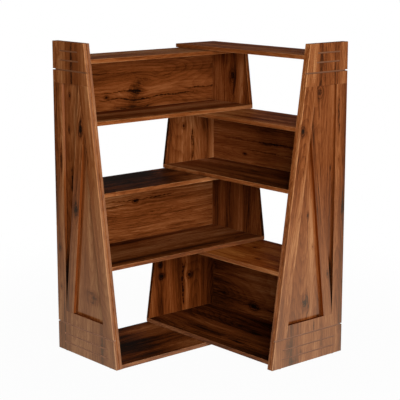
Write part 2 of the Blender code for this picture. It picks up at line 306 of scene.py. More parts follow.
CRACKS = {
    "left_end_board": [(96, 685, 55, 4.2, 0, 0.48), (186, 480, 140, 1.2, 4, 0.16)],
    "left_brace": [(172, 892, 40, 1.4, 2, 0.26), (134, 576, 34, 1.2, -2, 0.20)],
    "left_front_stile": [(204, 812, 70, 1.8, 1, 0.34)],
    "left_back_stile": [
        (42, 761, 80, 1.4, 1, 0.26), (18, 960, 150, 1.4, 4, 0.20), (45, 210, 120, 1.2, 2, 0.18),
    ],
    "left_base": [(47, 115, 60, 1.6, 0, 0.26)],
    "left_top": [(120, 1120, 130, 3.4, 1, 0.42)],
    "right_end_board": [
        (134, 960, 60, 1.4, 4, 0.26), (187, 500, 90, 1.4, -3, 0.28), (182, 229, 70, 2.2, 2, 0.36),
    ],
    "right_brace": [(130, 560, 160, 1.4, 3, 0.20)],
    "right_front_stile": [(222, 758, 60, 2, 1, 0.28), (274, 395, 50, 1.4, 0, 0.26)],
    "right_back_stile": [
        (42, 927, 85, 2.2, 1, 0.40), (46, 390, 90, 1.4, 0, 0.28), (12, 580, 90, 1.4, 2, 0.26),
    ],
    "right_base": [(155, 110, 60, 1.4, 1, 0.24), (60, 70, 60, 1.2, 0, 0.20)],
    "right_top": [(145, 1120, 120, 1.4, 1, 0.18)],
    "left_high_back": [
        (350, 957, 300, 2.8, 3, 0.34), (480, 983, 120, 2.4, -4, 0.30), (440, 922, 110, 2.6, 3, 0.34),
        (60, 976, 120, 2.6, 0, 0.36), (560, 1060, 120, 1.2, 0, 0.20),
    ],
    "left_low_back": [
        (395, 542, 200, 2.4, 10, 0.42), (560, 528, 110, 2, 4, 0.34), (250, 470, 140, 1.2, 0, 0.18),
    ],
    "right_high_back": [
        (260, 768, 270, 4, 4, 0.18), (420, 770, 150, 9, -10, 0.12), (350, 730, 160, 3, 0, 0.18),
    ],
    "right_low_back": [(290, 74, 140, 1.6, 0, 0.28), (260, 240, 180, 1.6, 3, 0.24)],
    "left_high_side": [(142, 990, 90, 1.6, 2, 0.26)],
    "left_low_side": [(120, 500, 120, 1.4, 3, 0.20)],
    "right_high_side": [(126, 740, 75, 3, 4, 0.50), (134, 770, 45, 2.2, -6, 0.42)],
    "right_low_side": [(181, 150, 110, 4, 3, 0.70), (172, 200, 60, 2, -6, 0.40)],
    "left_bottom_shelf": [(500, 221, 180, 2.6, 0, 0.34)],
    "left_lower_shelf": [(300, 160, 200, 1.6, 4, 0.24)],
    "left_upper_shelf": [(400, 120, 200, 1.6, 4, 0.22)],
    "right_lower_shelf": [(410, 206, 60, 2.2, 0, 0.32)],
    "right_bottom_shelf": [(262, 284, 110, 2.2, 0, 0.30), (495, 298, 100, 2, 0, 0.28)],
    "right_middle_shelf": [(400, 150, 200, 1.8, 4, 0.26)],
}
# How many values of a knot and of a crack are lengths
KNOT_LENGTHS = 4
CRACK_LENGTHS = 5
MILLIMETRES = 1000.0
HUNDREDTHS = 100.0

# Lift and contrast of each piece's print, and its warmth where there is any
PRINTS = {
    "left_end_board": (0.27, 1.05),
    "left_brace": (0.29, 1.30),
    "left_front_stile": (0.18, 1.00),
    "left_back_stile": (0.12, 1.50),
    "left_base": (0.24, 1.20),
    "left_top": (0.21, 1.10),
    "right_end_board": (0.10, 1.00),
    "right_brace": (-0.01, 1.15),
    "right_front_stile": (0.07, 1.30),
    "right_back_stile": (0.10, 1.10),
    "right_base": (0.09, 1.20),
    "right_top": (0.10, 1.25),
    "left_high_side": (0.01, 1.20, 0.20),
    "left_low_side": (-0.03, 1.00),
    "right_high_side": (0.10, 1.20),
    "right_low_side": (-0.08, 0.92, 0.30),
    "left_high_back": (0.02, 0.95),
    "left_low_back": (-0.04, 1.30),
    "right_high_back": (0.09, 0.90, 0.10),
    "right_low_back": (0.02, 1.10),
    "left_top_shelf": (0.23, 1.30),
    "left_upper_shelf": (0.20, 1.30, 0.20),
    "left_middle_shelf": (-0.20, 1.30),
    "left_lower_shelf": (0.05, 1.25),
    "left_bottom_shelf": (-0.13, 1.30),
    "right_top_shelf": (0.08, 1.40, 0.40),
    "right_upper_shelf": (0.22, 1.50, 0.60),
    "right_middle_shelf": (-0.02, 1.15),
    "right_lower_shelf": (0.27, 1.40, 0.95),
    "right_bottom_shelf": (-0.15, 1.15),
    # Pocket walls: copies of the print whose lifts are painted light and shade
    "left_brace_wall": (0.06, 0.60, 0.30),
    "left_stile_wall": (0.29, 0.80),
    "left_rail_wall": (-0.10, 0.60, 0.30),
    "right_brace_wall": (-0.06, 0.60, 0.80),
    "right_stile_wall": (0.00, 0.60),
    "right_rail_wall": (-0.12, 0.60, 0.80),
    "left_edging": (0.16, 1.00),
    "right_edging": (0.12, 1.20),
}

# Lift, contrast and painted sheen of the edge banding on each board's front
BANDINGS = {
    "left_top_shelf": (0.12, 1.00, 0.06),
    "left_upper_shelf": (0.13, 1.00, 0.06),
    "left_middle_shelf": (0.30, 1.20, 0.06),
    "left_lower_shelf": (0.27, 1.40, 0.06),
    "left_bottom_shelf": (0.08, 1.40, 0.12),
    "right_top_shelf": (0.02, 0.90, 0.02),
    "right_upper_shelf": (0.26, 1.00, 0.02),
    "right_middle_shelf": (-0.01, 1.40, 0.02),
    "right_lower_shelf": (0.19, 1.00, 0.03),
    "right_bottom_shelf": (0.02, 1.40, 0.06),
    "left_high_side": (0.02, 1.20, 0.00),
    "left_low_side": (-0.26, 1.00, 0.00),
    "right_high_side": (-0.38, 1.20, 0.00),
    "right_low_side": (-0.34, 1.00, 0.00),
}


# Heights and outlines of the wooden pieces


def other(unit):
    """The unit on the far side of the corner."""
    return "right" if unit == "left" else "left"


def board_undersides():
    """Underside height of every board, by level and unit, and the full height."""
    heights = {}
    z = GLIDE_HEIGHT
    for level, upper_unit, bay in LEVELS:
        heights[level, other(upper_unit)] = z
        heights[level, upper_unit] = z + BOARD + PAIR_GAP
        z += 2.0 * BOARD + PAIR_GAP + bay
    return heights, z


UNDERSIDE, HEIGHT = board_undersides()
SLOPE = (DEPTH_AT_TOP - DEPTH_AT_BASE) / (HEIGHT - GLIDE_HEIGHT)
BLOCK_TOP = GLIDE_HEIGHT + BASE_BLOCK
STILE_FOOT = BLOCK_TOP + OPEN_GROOVE
RAIL_TOP = STILE_FOOT + RAIL
BLOCK_FOOT = HEIGHT - TOP_BLOCK
BAND_TOP = BLOCK_FOOT - OPEN_GROOVE
BAND_FOOT = BAND_TOP - RAIL
STILE_HEAD = BAND_FOOT - SEAT

# Blocks that carry the strip in the open cut beside them
TONGUES = {
    "base_block": (BLOCK_TOP - TONGUE_ROOT, STILE_FOOT),
    "top_block": (BAND_TOP, BLOCK_FOOT + TONGUE_ROOT),
}
# Pieces that share one print, as cut from one strip
SHARED_PRINT = {
    "base_block": "base",
    "bottom_rail": "base",
    "top_band": "top",
    "top_block": "top",
}
# Height of the open cut's wall on each piece, and of the short grooves
GROOVE_WALLS = {
    "base_block": BLOCK_TOP,
    "bottom_rail": STILE_FOOT,
    "front_stile": STILE_FOOT,
    "back_stile": STILE_FOOT,
    "top_band": BAND_TOP,
    "top_block": BLOCK_FOOT,
}
FIRST_GROOVE = GLIDE_HEIGHT + SHORT_GROOVE_START
LAST_GROOVE = HEIGHT - SHORT_GROOVE_START
SHORT_GROOVES = {
    "base_block": (FIRST_GROOVE, FIRST_GROOVE + SHORT_GROOVE_PITCH),
    "top_block": (LAST_GROOVE, LAST_GROOVE - SHORT_GROOVE_PITCH),
}


def depth_at(z):
    """Depth of a unit at a height, along its straight slanted front."""
    return DEPTH_AT_BASE + SLOPE * (z - GLIDE_HEIGHT)


def slant(width):
    """Level width of a strip along the slanted front whose square width is given."""
    return width * math.hypot(1.0, SLOPE)


def board_end(unit):
    """Where a unit's boards end: the inner face of its end board."""
    return LENGTH[unit] - OVERLAY - BOARD


def meet(first, second):
    """Crossing point of two lines in the plane, each given by two points."""
    (ax, az), (bx, bz) = first
    (cx, cz), (dx, dz) = second
    cross = (bx - ax) * (dz - cz) - (bz - az) * (dx - cx)
    share = ((cx - ax) * (dz - cz) - (cz - az) * (dx - cx)) / cross
    return (ax + share * (bx - ax), az + share * (bz - az))


def stile_inner(z):
    """Inner edge of the front stile, which runs parallel to the slanted front."""
    return depth_at(z) - slant(STILE_WIDTH)


def stile_seat(z):
    """Edge that leaves the fitting gap behind the front stile."""
    return stile_inner(z) - slant(SEAT)


def upright_edge(depth):
    """An upright edge, as a rule that gives its depth at any height."""
    return lambda z: depth


def between(back, front, low, high):
    """Outline between two edges, each a rule for depth by height, and two heights."""
    return [(back(low), low), (front(low), low), (front(high), high), (back(high), high)]


def brace_ends():
    """Foot and head of the brace's back edge, as depth and height."""
    foot = Vector((STILE_WIDTH + SEAT, RAIL_TOP + SEAT))
    head = Vector((stile_seat(STILE_HEAD), STILE_HEAD))
    return foot, head


def brace_outline():
    """Diagonal brace: its back edge joins two inner corners, its front is parallel."""
    foot, head = brace_ends()
    run = (head - foot).normalized()
    shift = Vector((run.y, -run.x)) * BRACE_WIDTH
    front_edge = (foot + shift, head + shift)
    stile_edge = ((stile_seat(foot.y), foot.y), head)
    rail_edge = ((0.0, foot.y), (1.0, foot.y))
    return [foot, meet(front_edge, rail_edge), meet(front_edge, stile_edge), head]


def overlay_outlines():
    """Outline of each overlay piece of an end panel, as depth and height."""
    rear = upright_edge(0.0)
    stile = upright_edge(STILE_WIDTH)
    rail_end = upright_edge(STILE_WIDTH + SEAT)
    return {
        "base_block": between(rear, depth_at, GLIDE_HEIGHT, BLOCK_TOP),
        "bottom_rail": between(rail_end, stile_seat, STILE_FOOT, RAIL_TOP),
        "front_stile": between(stile_inner, depth_at, STILE_FOOT, STILE_HEAD),
        "back_stile": between(rear, stile, STILE_FOOT, STILE_HEAD),
        "brace": brace_outline(),
        "top_band": between(rear, depth_at, BAND_FOOT, BAND_TOP),
        "top_block": between(rear, depth_at, BLOCK_FOOT, HEIGHT),
    }


def slot_outline(z):
    """Outline of a routed groove with round ends, centred on a height."""
    radius = SHORT_GROOVE_HEIGHT / 2.0
    back_end = SHORT_GROOVE_MARGIN + radius
    front_end = depth_at(z) - SHORT_GROOVE_MARGIN - radius
    points = []
    for centre, first_angle in ((front_end, -90.0), (back_end, 90.0)):
        for step in range(SLOT_END_STEPS + 1):
            angle = math.radians(first_angle + 180.0 * step / SLOT_END_STEPS)
            points.append((centre + radius * math.cos(angle), z + radius * math.sin(angle)))
    return points


# Unit places and the directions that the grain takes


def unit_point(unit, along, depth, z):
    """A point of a unit in the row frame."""
    corner_x = LENGTH["left"] / 2.0
    corner_y = LENGTH["right"] / 2.0
    if unit == "left":
        return Vector((corner_x - along, corner_y - depth, z))
    return Vector((corner_x - depth, corner_y - along, z))


def unit_step(unit, sweep):
    """A step of a unit, given along, in depth and in height, in the row frame."""
    return unit_point(unit, *sweep) - unit_point(unit, 0.0, 0.0, 0.0)


def unit_place(unit, point):
    """Along, depth and height of a point of the row frame."""
    from_x = LENGTH["left"] / 2.0 - point.x
    from_y = LENGTH["right"] / 2.0 - point.y
    if unit == "left":
        return from_x, from_y, point.z
    return from_y, from_x, point.z


def face_place(unit, face):
    """Along, depth and height of the middle of a face."""
    return unit_place(unit, face.calc_center_median())


def grain_of_board(along, depth, z):
    """Grain that runs along a level board."""
    return along, depth, z


def grain_of_back(along, depth, z):
    """Grain that runs along an upright back panel."""
    return along, z, depth


def grain_upright(along, depth, z):
    """Grain that runs up an end panel or inner side."""
    return z, depth, along


def grain_leaning(foot, head):
    """Grain that runs from foot to head, two points of depth and height."""
    run = (Vector(head) - Vector(foot)).normalized()

    def grain(along, depth, z):
        return depth * run.x + z * run.y, depth * run.y - z * run.x, along

    return grain


# Node helpers


class Net:
    """Adds nodes to one tree, and links whatever is given as a socket."""

    def __init__(self, tree):
        self.tree = tree

    def add(self, kind, inputs=(), **settings):
        """A node, its settings, and its inputs by name or number."""
        node = self.tree.nodes.new(kind)
        for key, value in settings.items():
            setattr(node, key, value)
        for key, value in dict(inputs).items():
            self.feed(node.inputs[key], value)
        return node

    def feed(self, socket, value):
        """Link a socket into an input, or set the input to a plain value."""
        if isinstance(value, bpy.types.NodeSocket):
            self.tree.links.new(value, socket)
        else:
            socket.default_value = value

    def math(self, operation, *values):
        """One math node."""
        inputs = dict(enumerate(values))
        return self.add("ShaderNodeMath", inputs, operation=operation).outputs[0]

    def times(self, first, second):
        """Product of two values."""
        return self.math("MULTIPLY", first, second)

    def total(self, *terms):
        """Sum of products: each term is a value and the factor on it."""
        result = self.times(*terms[0])
        for value, factor in terms[1:]:
            result = self.math("MULTIPLY_ADD", value, factor, result)
        return result

    def vector(self, operation, *values):
        """One vector math node."""
        inputs = dict(enumerate(values))
        return self.add("ShaderNodeVectorMath", inputs, operation=operation).outputs[0]

    def combine(self, x, y, z):
        """A vector from three values."""
        return self.add("ShaderNodeCombineXYZ", {0: x, 1: y, 2: z}).outputs[0]

    def split(self, vector):
        """The three values of a vector."""
        return self.add("ShaderNodeSeparateXYZ", {0: vector}).outputs

    def place(self):
        """The place in the object's own space."""
        return self.add("ShaderNodeTexCoord").outputs["Object"]

    def group(self, tree, inputs):
        """The outputs of a node group that is given its inputs."""
        return self.add("ShaderNodeGroup", inputs, node_tree=tree).outputs

    def noise(self, vector, stretch, detail, roughness=0.5):
        """Noise over a vector that is first scaled on each axis."""
        scaled = self.vector("MULTIPLY", vector, stretch)
        inputs = {"Vector": scaled, "Scale": 1.0, "Detail": detail, "Roughness": roughness}
        return self.add("ShaderNodeTexNoise", inputs).outputs["Fac"]

    def even_noise(self, vector, scale, detail, roughness=0.5):
        """Noise that is scaled the same on each axis."""
        return self.noise(vector, (scale, scale, scale), detail, roughness)

    def spread(self, value, low, high, to_low=0.0, to_high=1.0, smooth=True):
        """Map a value from one range to another, with soft ends."""
        inputs = {0: value, 1: low, 2: high, 3: to_low, 4: to_high}
        kind = "SMOOTHSTEP" if smooth else "LINEAR"
        return self.add("ShaderNodeMapRange", inputs, interpolation_type=kind).outputs[0]

    def ramp(self, value, stops):
        """Colours by value, each stop a position and a linear colour."""
        node = self.add("ShaderNodeValToRGB", {0: value})
        elements = node.color_ramp.elements
        while len(elements) < len(stops):
            elements.new(0.5)
        for element, (position, colour) in zip(elements, stops):
            element.position = position
            element.color = (*colour, 1.0)
        return node.outputs[0]

    def mix(self, factor, first, second, blend="MIX"):
        """Mix two colours."""
        node = self.add("ShaderNodeMix", data_type="RGBA", blend_type=blend)
        self.feed(node.inputs[0], factor)
        self.feed(node.inputs[6], first)
        self.feed(node.inputs[7], second)
        return node.outputs[2]

    def mix_shaders(self, factor, first, second):
        """Mix two shaders."""
        inputs = {0: factor, 1: first.outputs[0], 2: second.outputs[0]}
        return self.add("ShaderNodeMixShader", inputs).outputs[0]

    def bump(self, strength, distance, height):
        """A normal that leans with the slope of a height."""
        inputs = {"Strength": strength, "Distance": distance, "Height": height}
        return self.add("ShaderNodeBump", inputs).outputs[0]


FLOAT = "NodeSocketFloat"
VECTOR = "NodeSocketVector"
COLOUR = "NodeSocketColor"
KNOT_INPUTS = ("Along", "Across", "Half Length", "Half Width", "Dark", "Bend")
CRACK_INPUTS = ("Along", "Across", "Half Length", "Width", "Bow", "Dark")


def floats(names):
    """Sockets of plain values, by name."""
    return {name: FLOAT for name in names}


def new_group(name, inputs, outputs):
    """A node group with sockets by name; returns its net, inputs and output node."""
    tree = bpy.data.node_groups.new(name, "ShaderNodeTree")
    for socket, kind in inputs.items():
        tree.interface.new_socket(socket, in_out="INPUT", socket_type=kind)
    for socket, kind in outputs.items():
        tree.interface.new_socket(socket, in_out="OUTPUT", socket_type=kind)
    net = Net(tree)
    given = net.add("NodeGroupInput").outputs
    result = net.add("NodeGroupOutput").inputs
    return net, given, result


# Walnut print


def make_knot_group():
    """A knot: a ragged dark core with rings, and grain that bends round it."""
    sockets = {"Grain": VECTOR, **floats(KNOT_INPUTS)}
    outputs = {"Grain": VECTOR, "Shade": FLOAT}
    net, given, result = new_group("walnut_knot", sockets, outputs)
    grain = net.split(given["Grain"])
    off_along = net.math("SUBTRACT", grain[0], given["Along"])
    off_across = net.math("SUBTRACT", grain[1], given["Across"])
    share_along = net.math("DIVIDE", off_along, given["Half Length"])
    share_across = net.math("DIVIDE", off_across, given["Half Width"])
    square = net.times(share_along, share_along)
    square = net.math("MULTIPLY_ADD", share_across, share_across, square)
    pull = net.math("POWER", math.e, net.times(square, -0.22))
    pull = net.times(pull, given["Bend"])
    moved_across = net.times(off_across, pull)
    moved_across = net.math("MULTIPLY_ADD", moved_across, -0.80, grain[1])
    moved_along = net.times(off_along, pull)
    moved_along = net.math("MULTIPLY_ADD", moved_along, -0.45, grain[0])
    net.feed(result["Grain"], net.combine(moved_along, moved_across, grain[2]))

    ragged_at = net.combine(off_along, off_across, given["Along"])
    ragged = net.noise(ragged_at, (230.0, 300.0, 300.0), 4.0, 0.70)
    soft = net.noise(ragged_at, (60.0, 90.0, 90.0), 1.0)
    smooth_radius = net.math("SQRT", square)
    radius = net.total((smooth_radius, 1.0), (ragged, 2.6), (1.30, -1.0))
    core = net.spread(radius, -0.10, 0.75, 1.0, 0.0)
    wavy = net.total((smooth_radius, 9.5), (soft, 7.0))
    rings = net.spread(net.math("SINE", wavy), -0.3, 0.9)
    zone = net.spread(smooth_radius, 0.7, 1.9, 0.42, 0.0)
    rings = net.times(rings, net.times(zone, given["Bend"]))
    halo = net.spread(smooth_radius, 0.6, 2.2, 0.30, 0.0)
    shade = net.math("ADD", net.math("ADD", core, rings), halo)
    net.feed(result["Shade"], net.times(shade, given["Dark"]))
    return net.tree


def make_crack_group():
    """A thin, jagged, broken dark line along the grain."""
    sockets = {"Grain": VECTOR, **floats(CRACK_INPUTS)}
    net, given, result = new_group("walnut_crack", sockets, {"Shade": FLOAT})
    grain = net.split(given["Grain"])
    off_along = net.math("SUBTRACT", grain[0], given["Along"])
    share = net.math("DIVIDE", off_along, given["Half Length"])
    bow = net.times(net.times(share, share), given["Bow"])
    walk_at = net.combine(grain[0], 0.0, given["Across"])
    walk = net.noise(walk_at, (13.0, 1.0, 500.0), 3.0, 0.48)
    swell = net.noise(walk_at, (60.0, 1.0, 900.0), 3.0, 0.65)
    line = net.total((walk, 0.024), (0.012, -1.0), (given["Across"], 1.0), (bow, 1.0))
    off_line = net.math("ABSOLUTE", net.math("SUBTRACT", grain[1], line))
    width = net.times(net.spread(swell, 0.34, 0.66, 0.25, 1.7), given["Width"])
    shade = net.spread(net.math("DIVIDE", off_line, width), 0.25, 1.0, 1.0, 0.0)
    halo = net.spread(net.math("DIVIDE", off_line, given["Width"]), 0.5, 5.0, 0.25, 0.0)
    ends = net.spread(net.math("ABSOLUTE", share), 0.55, 1.0, 1.0, 0.0)
    shade = net.times(net.math("ADD", shade, halo), ends)
    net.feed(result["Shade"], net.times(shade, given["Dark"]))
    return net.tree


def make_print_group():
    """Clouds, growth lines, streaks, fibres, flecks and pores of the walnut print."""
    sockets = {"Grain": VECTOR, "Seed": VECTOR}
    outputs = floats(("Tone", "Fibre", "Pores"))
    net, given, result = new_group("walnut_print", sockets, outputs)
    place = net.vector("ADD", given["Grain"], given["Seed"])
    drift = net.noise(place, (2.0, 6.0, 6.0), 1.0)
    waver = net.noise(place, (12.0, 38.0, 38.0), 1.0)
    shift = net.total((drift, 0.046), (waver, 0.006))
    place = net.vector("ADD", place, net.combine(0.0, shift, shift))
    clouds = net.noise(place, (1.0, 15.0, 15.0), 2.0, 0.5)
    figure = net.noise(place, (1.1, 8.0, 8.0), 0.0)
    figure = net.math("FRACT", net.times(figure, 30.0))
    figure = net.spread(figure, 0.35, 1.0)
    streaks = net.noise(place, (2.6, 150.0, 150.0), 4.0, 0.68)
    fibre = net.noise(place, (24.0, 640.0, 640.0), 2.0, 0.6)
    flecks = net.noise(place, (13.0, 420.0, 420.0), 2.0, 0.6)
    flecks = net.spread(flecks, 0.60, 0.70)
    pores = net.noise(place, (90.0, 1500.0, 1500.0), 1.0)
    pores = net.spread(pores, 0.58, 0.70)
    tone = net.total(
        (clouds, 1.10),
        (figure, -0.09),
        (streaks, 0.80),
        (fibre, 0.40),
        (flecks, -0.20),
        (pores, -0.10),
        (0.61, -1.0),
    )
    net.feed(result["Tone"], tone)
    net.feed(result["Fibre"], fibre)
    net.feed(result["Pores"], net.math("MAXIMUM", pores, flecks))
    return net.tree


def make_finish_group():
    """Colour, roughness and relief of the printed surface."""
    sockets = floats(("Tone", "Fibre", "Pores", "Painted Sheen", "Warmth"))
    outputs = {"Color": COLOUR, "Roughness": FLOAT, "Normal": VECTOR}
    net, given, result = new_group("walnut_finish", sockets, outputs)
    # Rounded edges painted pale, as edge wear and a painted highlight
    wear_and_highlight = net.add("ShaderNodeAttribute", attribute_name="wear_and_highlight").outputs["Fac"]
    rub_and_highlight = net.total((given["Fibre"], 0.35), (0.10, 1.0))
    tone = net.math("MULTIPLY_ADD", wear_and_highlight, rub_and_highlight, given["Tone"])
    colour = net.ramp(tone, WALNUT_TONES)
    amber = net.mix(1.0, colour, AMBER, blend="MULTIPLY")
    colour = net.mix(given["Warmth"], colour, amber)
    colour = net.mix(given["Painted Sheen"], colour, PAINTED_SHEEN_COLOUR)
    roughness = net.total(
        (given["Fibre"], 0.16), (given["Pores"], 0.12), (given["Painted Sheen"], 0.6), (0.50, 1.0)
    )
    relief = net.total((given["Fibre"], 0.6), (given["Pores"], -0.8))
    net.feed(result["Color"], colour)
    net.feed(result["Roughness"], roughness)
    net.feed(result["Normal"], net.bump(0.35, 0.0003, relief))
    return net.tree


KNOT_GROUP = make_knot_group()
CRACK_GROUP = make_crack_group()
PRINT_GROUP = make_print_group()
FINISH_GROUP = make_finish_group()


def new_material(name):
    """A material with its net and its Principled shader."""
    made = bpy.data.materials.new(name)
    made.use_nodes = True
    net = Net(made.node_tree)
    return made, net, made.node_tree.nodes["Principled BSDF"]


def coat(net, surface, colour, roughness, normal):
    """Feed the colour, roughness and normal of a Principled shader."""
    net.feed(surface.inputs["Base Color"], colour)
    net.feed(surface.inputs["Roughness"], roughness)
    net.feed(surface.inputs["Normal"], normal)


def add_marks(net, grain, knots, cracks):
    """Add knots and cracks; returns the bent grain and the summed shade, if any."""
    shades = []
    for knot in knots:
        marked = net.group(KNOT_GROUP, {"Grain": grain, **dict(zip(KNOT_INPUTS, knot))})
        grain = marked["Grain"]
        shades.append(marked["Shade"])
    for crack in cracks:
        marked = net.group(CRACK_GROUP, {"Grain": grain, **dict(zip(CRACK_INPUTS, crack))})
        shades.append(marked["Shade"])
    shade = shades[0] if shades else None
    for more in shades[1:]:
        shade = net.math("ADD", shade, more)
    return grain, shade


def walnut(
    name, knots=(), cracks=(), lift=0.0, contrast=1.0, warmth=0.0, painted_sheen=None, shading=None
):
    """Walnut print with knots and cracks at given grain places, painted shade from a shading rule,
    and a painted sheen.
    """
    made, net, surface = new_material("walnut_" + name)
    flat = net.add("ShaderNodeAttribute", attribute_name="grain").outputs["Vector"]
    grain, shade = add_marks(net, flat, knots, cracks)
    chance = random.Random(name)
    seed = tuple(chance.uniform(-PRINT_REACH, PRINT_REACH) for _ in range(3))
    drawn = net.group(PRINT_GROUP, {"Grain": grain, "Seed": seed})
    tone = net.math("SUBTRACT", drawn["Tone"], 0.5)
    tone = net.math("MULTIPLY_ADD", tone, contrast, 0.5 + lift)
    if shade is not None:
        tone = net.math("SUBTRACT", tone, shade)
    # Painted shade from a shading rule
    drawn_shade = shading(net, flat) if shading else None
    if shading:
        tone = net.math("SUBTRACT", tone, drawn_shade)
    # Slow tone changes, many of them painted shade
    for axis, *change in SHADE_AND_TONE_FADES.get(name, ()):
        change = [value / HUNDREDTHS for value in change]
        tone = net.math("ADD", tone, net.spread(net.split(flat)[axis], *change))
    given = {"Tone": tone, "Fibre": drawn["Fibre"], "Pores": drawn["Pores"], "Warmth": warmth}
    # Painted sheen: a pale veil for the floor's reflection, strongest low down, left out where
    # painted shade lies
    if painted_sheen:
        height = net.split(net.place())[2]
        sheen_veil = net.spread(height, 0.0, PAINTED_SHEEN_TOP, *painted_sheen, smooth=False)
        if shading:
            kept = net.spread(drawn_shade, 0.0, SHEEN_FREE_SHADE, 1.0, 0.0)
            sheen_veil = net.times(sheen_veil, kept)
        given["Painted Sheen"] = sheen_veil
    finish = net.group(FINISH_GROUP, given)
    coat(net, surface, finish["Color"], finish["Roughness"], finish["Normal"])
    surface.inputs["Specular IOR Level"].default_value = WOOD_GLOSS
    return made


def placed(marks, lengths, grain):
    """Marks in metres, those of an upright with face places turned into grain places."""
    found = []
    for mark in marks:
        first, second, *sizes = [value / MILLIMETRES for value in mark[:lengths]]
        if grain not in (grain_of_board, grain_of_back):
            first, second, _ = grain(0.0, first, second)
        found.append((first, second, *sizes, *mark[lengths:]))
    return found


def printed(label, painted_sheen=None, shading=None, grain=grain_upright):
    """The walnut material of one piece, with its knots and cracks."""
    knots = placed(KNOTS.get(label, ()), KNOT_LENGTHS, grain)
    cracks = placed(CRACKS.get(label, ()), CRACK_LENGTHS, grain)
    return walnut(label, knots, cracks, *PRINTS[label], painted_sheen=painted_sheen, shading=shading)


def banding_of(label):
    """The strip of edge banding on one board's front."""
    lift, contrast, painted_sheen = BANDINGS[label]
    return walnut(label + "_banding", lift=lift, contrast=contrast, painted_sheen=(painted_sheen, 0.0))


def pocket_shading(unit):
    """Painted shade in the corners of an end panel's two open pockets, and down the narrow pocket
    behind the brace.
    """
    corner_dark, pocket_dark = POCKET_DARK[unit]
    foot, head = brace_ends()
    run = (head - foot).normalized()
    square = Vector((run.y, -run.x))
    wall = foot + square * BRACE_WIDTH
    outer = LENGTH[unit] - OVERLAY

    def shading(net, grain):
        z, depth, along = net.split(grain)
        off_wall = net.total((depth, square.x), (z, square.y), (-wall.dot(square), 1.0))
        by_wall = net.spread(net.math("ABSOLUTE", off_wall), OFF_EDGE, BRACE_REACH, 1.0, 0.0)
        by_rail = net.spread(z, RAIL_TOP + OFF_EDGE, RAIL_TOP + RAIL_REACH, 1.0, 0.0)
        stile_end = STILE_WIDTH + STILE_REACH
        by_stile = net.spread(depth, STILE_WIDTH, stile_end, STILE_CORNER_SHARE, 0.0)
        corner = net.math("MAXIMUM", net.math("MAXIMUM", by_wall, by_rail), by_stile)
        behind = net.spread(off_wall, *BEHIND_BRACE)
        pocket = net.times(behind, net.spread(z, *POCKET_FADE))
        pocket_foot = net.times(behind, net.spread(z, *POCKET_FOOT))
        shade = net.total(
            (corner, corner_dark), (pocket, pocket_dark), (pocket_foot, POCKET_FOOT_DARK)
        )
        outside = net.spread(along, outer - 2.0 * OFF_EDGE, outer - OFF_EDGE)
        return net.times(shade, outside)

    return shading


def wall_shading(net, grain):
    """Painted shade on a wall that stands in the narrow pocket, darker towards its foot."""
    z = net.split(grain)[0]
    low = net.spread(z, *WALL_FADE, 0.0, WALL_DARK)
    foot = net.spread(z, *WALL_FOOT, 0.0, WALL_FOOT_DARK)
    return net.math("ADD", low, foot)


def edging_shading(unit):
    """The dark seam between an end board and its overlay, on the slanted front."""
    seam = LENGTH[unit] - OVERLAY - OFF_EDGE

    def shading(net, grain):
        off_seam = net.math("ABSOLUTE", net.math("SUBTRACT", net.split(grain)[2], seam))
        return net.spread(off_seam, *SEAM_REACH, SEAM_DARK, 0.0)

    return shading


def pocket_walls(unit):
    """Materials of the walls in an end panel's open pockets, by overlay piece: copies of the print
    with painted light and shade, lighter on the left unit's walls that face the key light and darker
    on the right unit's.
    """
    stile_look = (STILE_WALL_PAINTED_SHEEN, wall_shading) if unit == "left" else ()
    return {
        "brace": printed(unit + "_brace_wall"),
        "back_stile": printed(unit + "_stile_wall", *stile_look),
        "bottom_rail": printed(unit + "_rail_wall"),
    }


# Other materials


def make_core(unit):
    """Raw fibreboard that shows where a groove is cut through the print."""
    made, net, surface = new_material(unit + "_fibreboard")
    place = net.place()
    fluff = net.even_noise(place, 900.0, 3.0, 0.7)
    cloud = net.even_noise(place, 40.0, 2.0)
    colour = net.ramp(net.total((fluff, 0.6), (cloud, 0.4)), CORE_TONES)
    # Tint by height: a painted reflection of the floor, lighter low down
    tint = net.ramp(net.split(place)[2], CORE_SHEEN_TINTS[unit])
    colour = net.mix(1.0, colour, tint, blend="MULTIPLY")
    roughness = net.total((fluff, 0.2), (0.7, 1.0))
    coat(net, surface, colour, roughness, net.bump(0.5, 0.0003, fluff))
    surface.inputs["Specular IOR Level"].default_value = 0.1
    return made


def make_nylon():
    """Moulded dark nylon: a faint mottle and a fine texture."""
    made, net, surface = new_material("moulded_nylon")
    place = net.place()
    mottle = net.even_noise(place, 160.0, 3.0)
    grit = net.even_noise(place, 2600.0, 2.0)
    colour = net.ramp(mottle, NYLON_TONES)
    roughness = net.total((mottle, 0.25), (0.42, 1.0))
    coat(net, surface, colour, roughness, net.bump(0.3, 0.0001, grit))
    return made


def make_steel():
    """Zinc plated steel with turning marks round the pin."""
    made, net, surface = new_material("zinc_plated_steel")
    place = net.place()
    rings = net.noise(place, (60.0, 60.0, 9000.0), 2.0)
    cloud = net.even_noise(place, 300.0, 3.0)
    colour = net.ramp(cloud, STEEL_TONES)
    roughness = net.total((cloud, 0.2), (rings, 0.12), (0.16, 1.0))
    coat(net, surface, colour, roughness, net.bump(0.25, 0.00005, rings))
    surface.inputs["Metallic"].default_value = 1.0
    return made


# Shapes


def new_object(name, shape):
    """An object in the scene from a bmesh."""
    mesh = bpy.data.meshes.new(name)
    shape.to_mesh(mesh)
    shape.free()
    made = bpy.data.objects.new(name, mesh)
    bpy.context.scene.collection.objects.link(made)
    return made


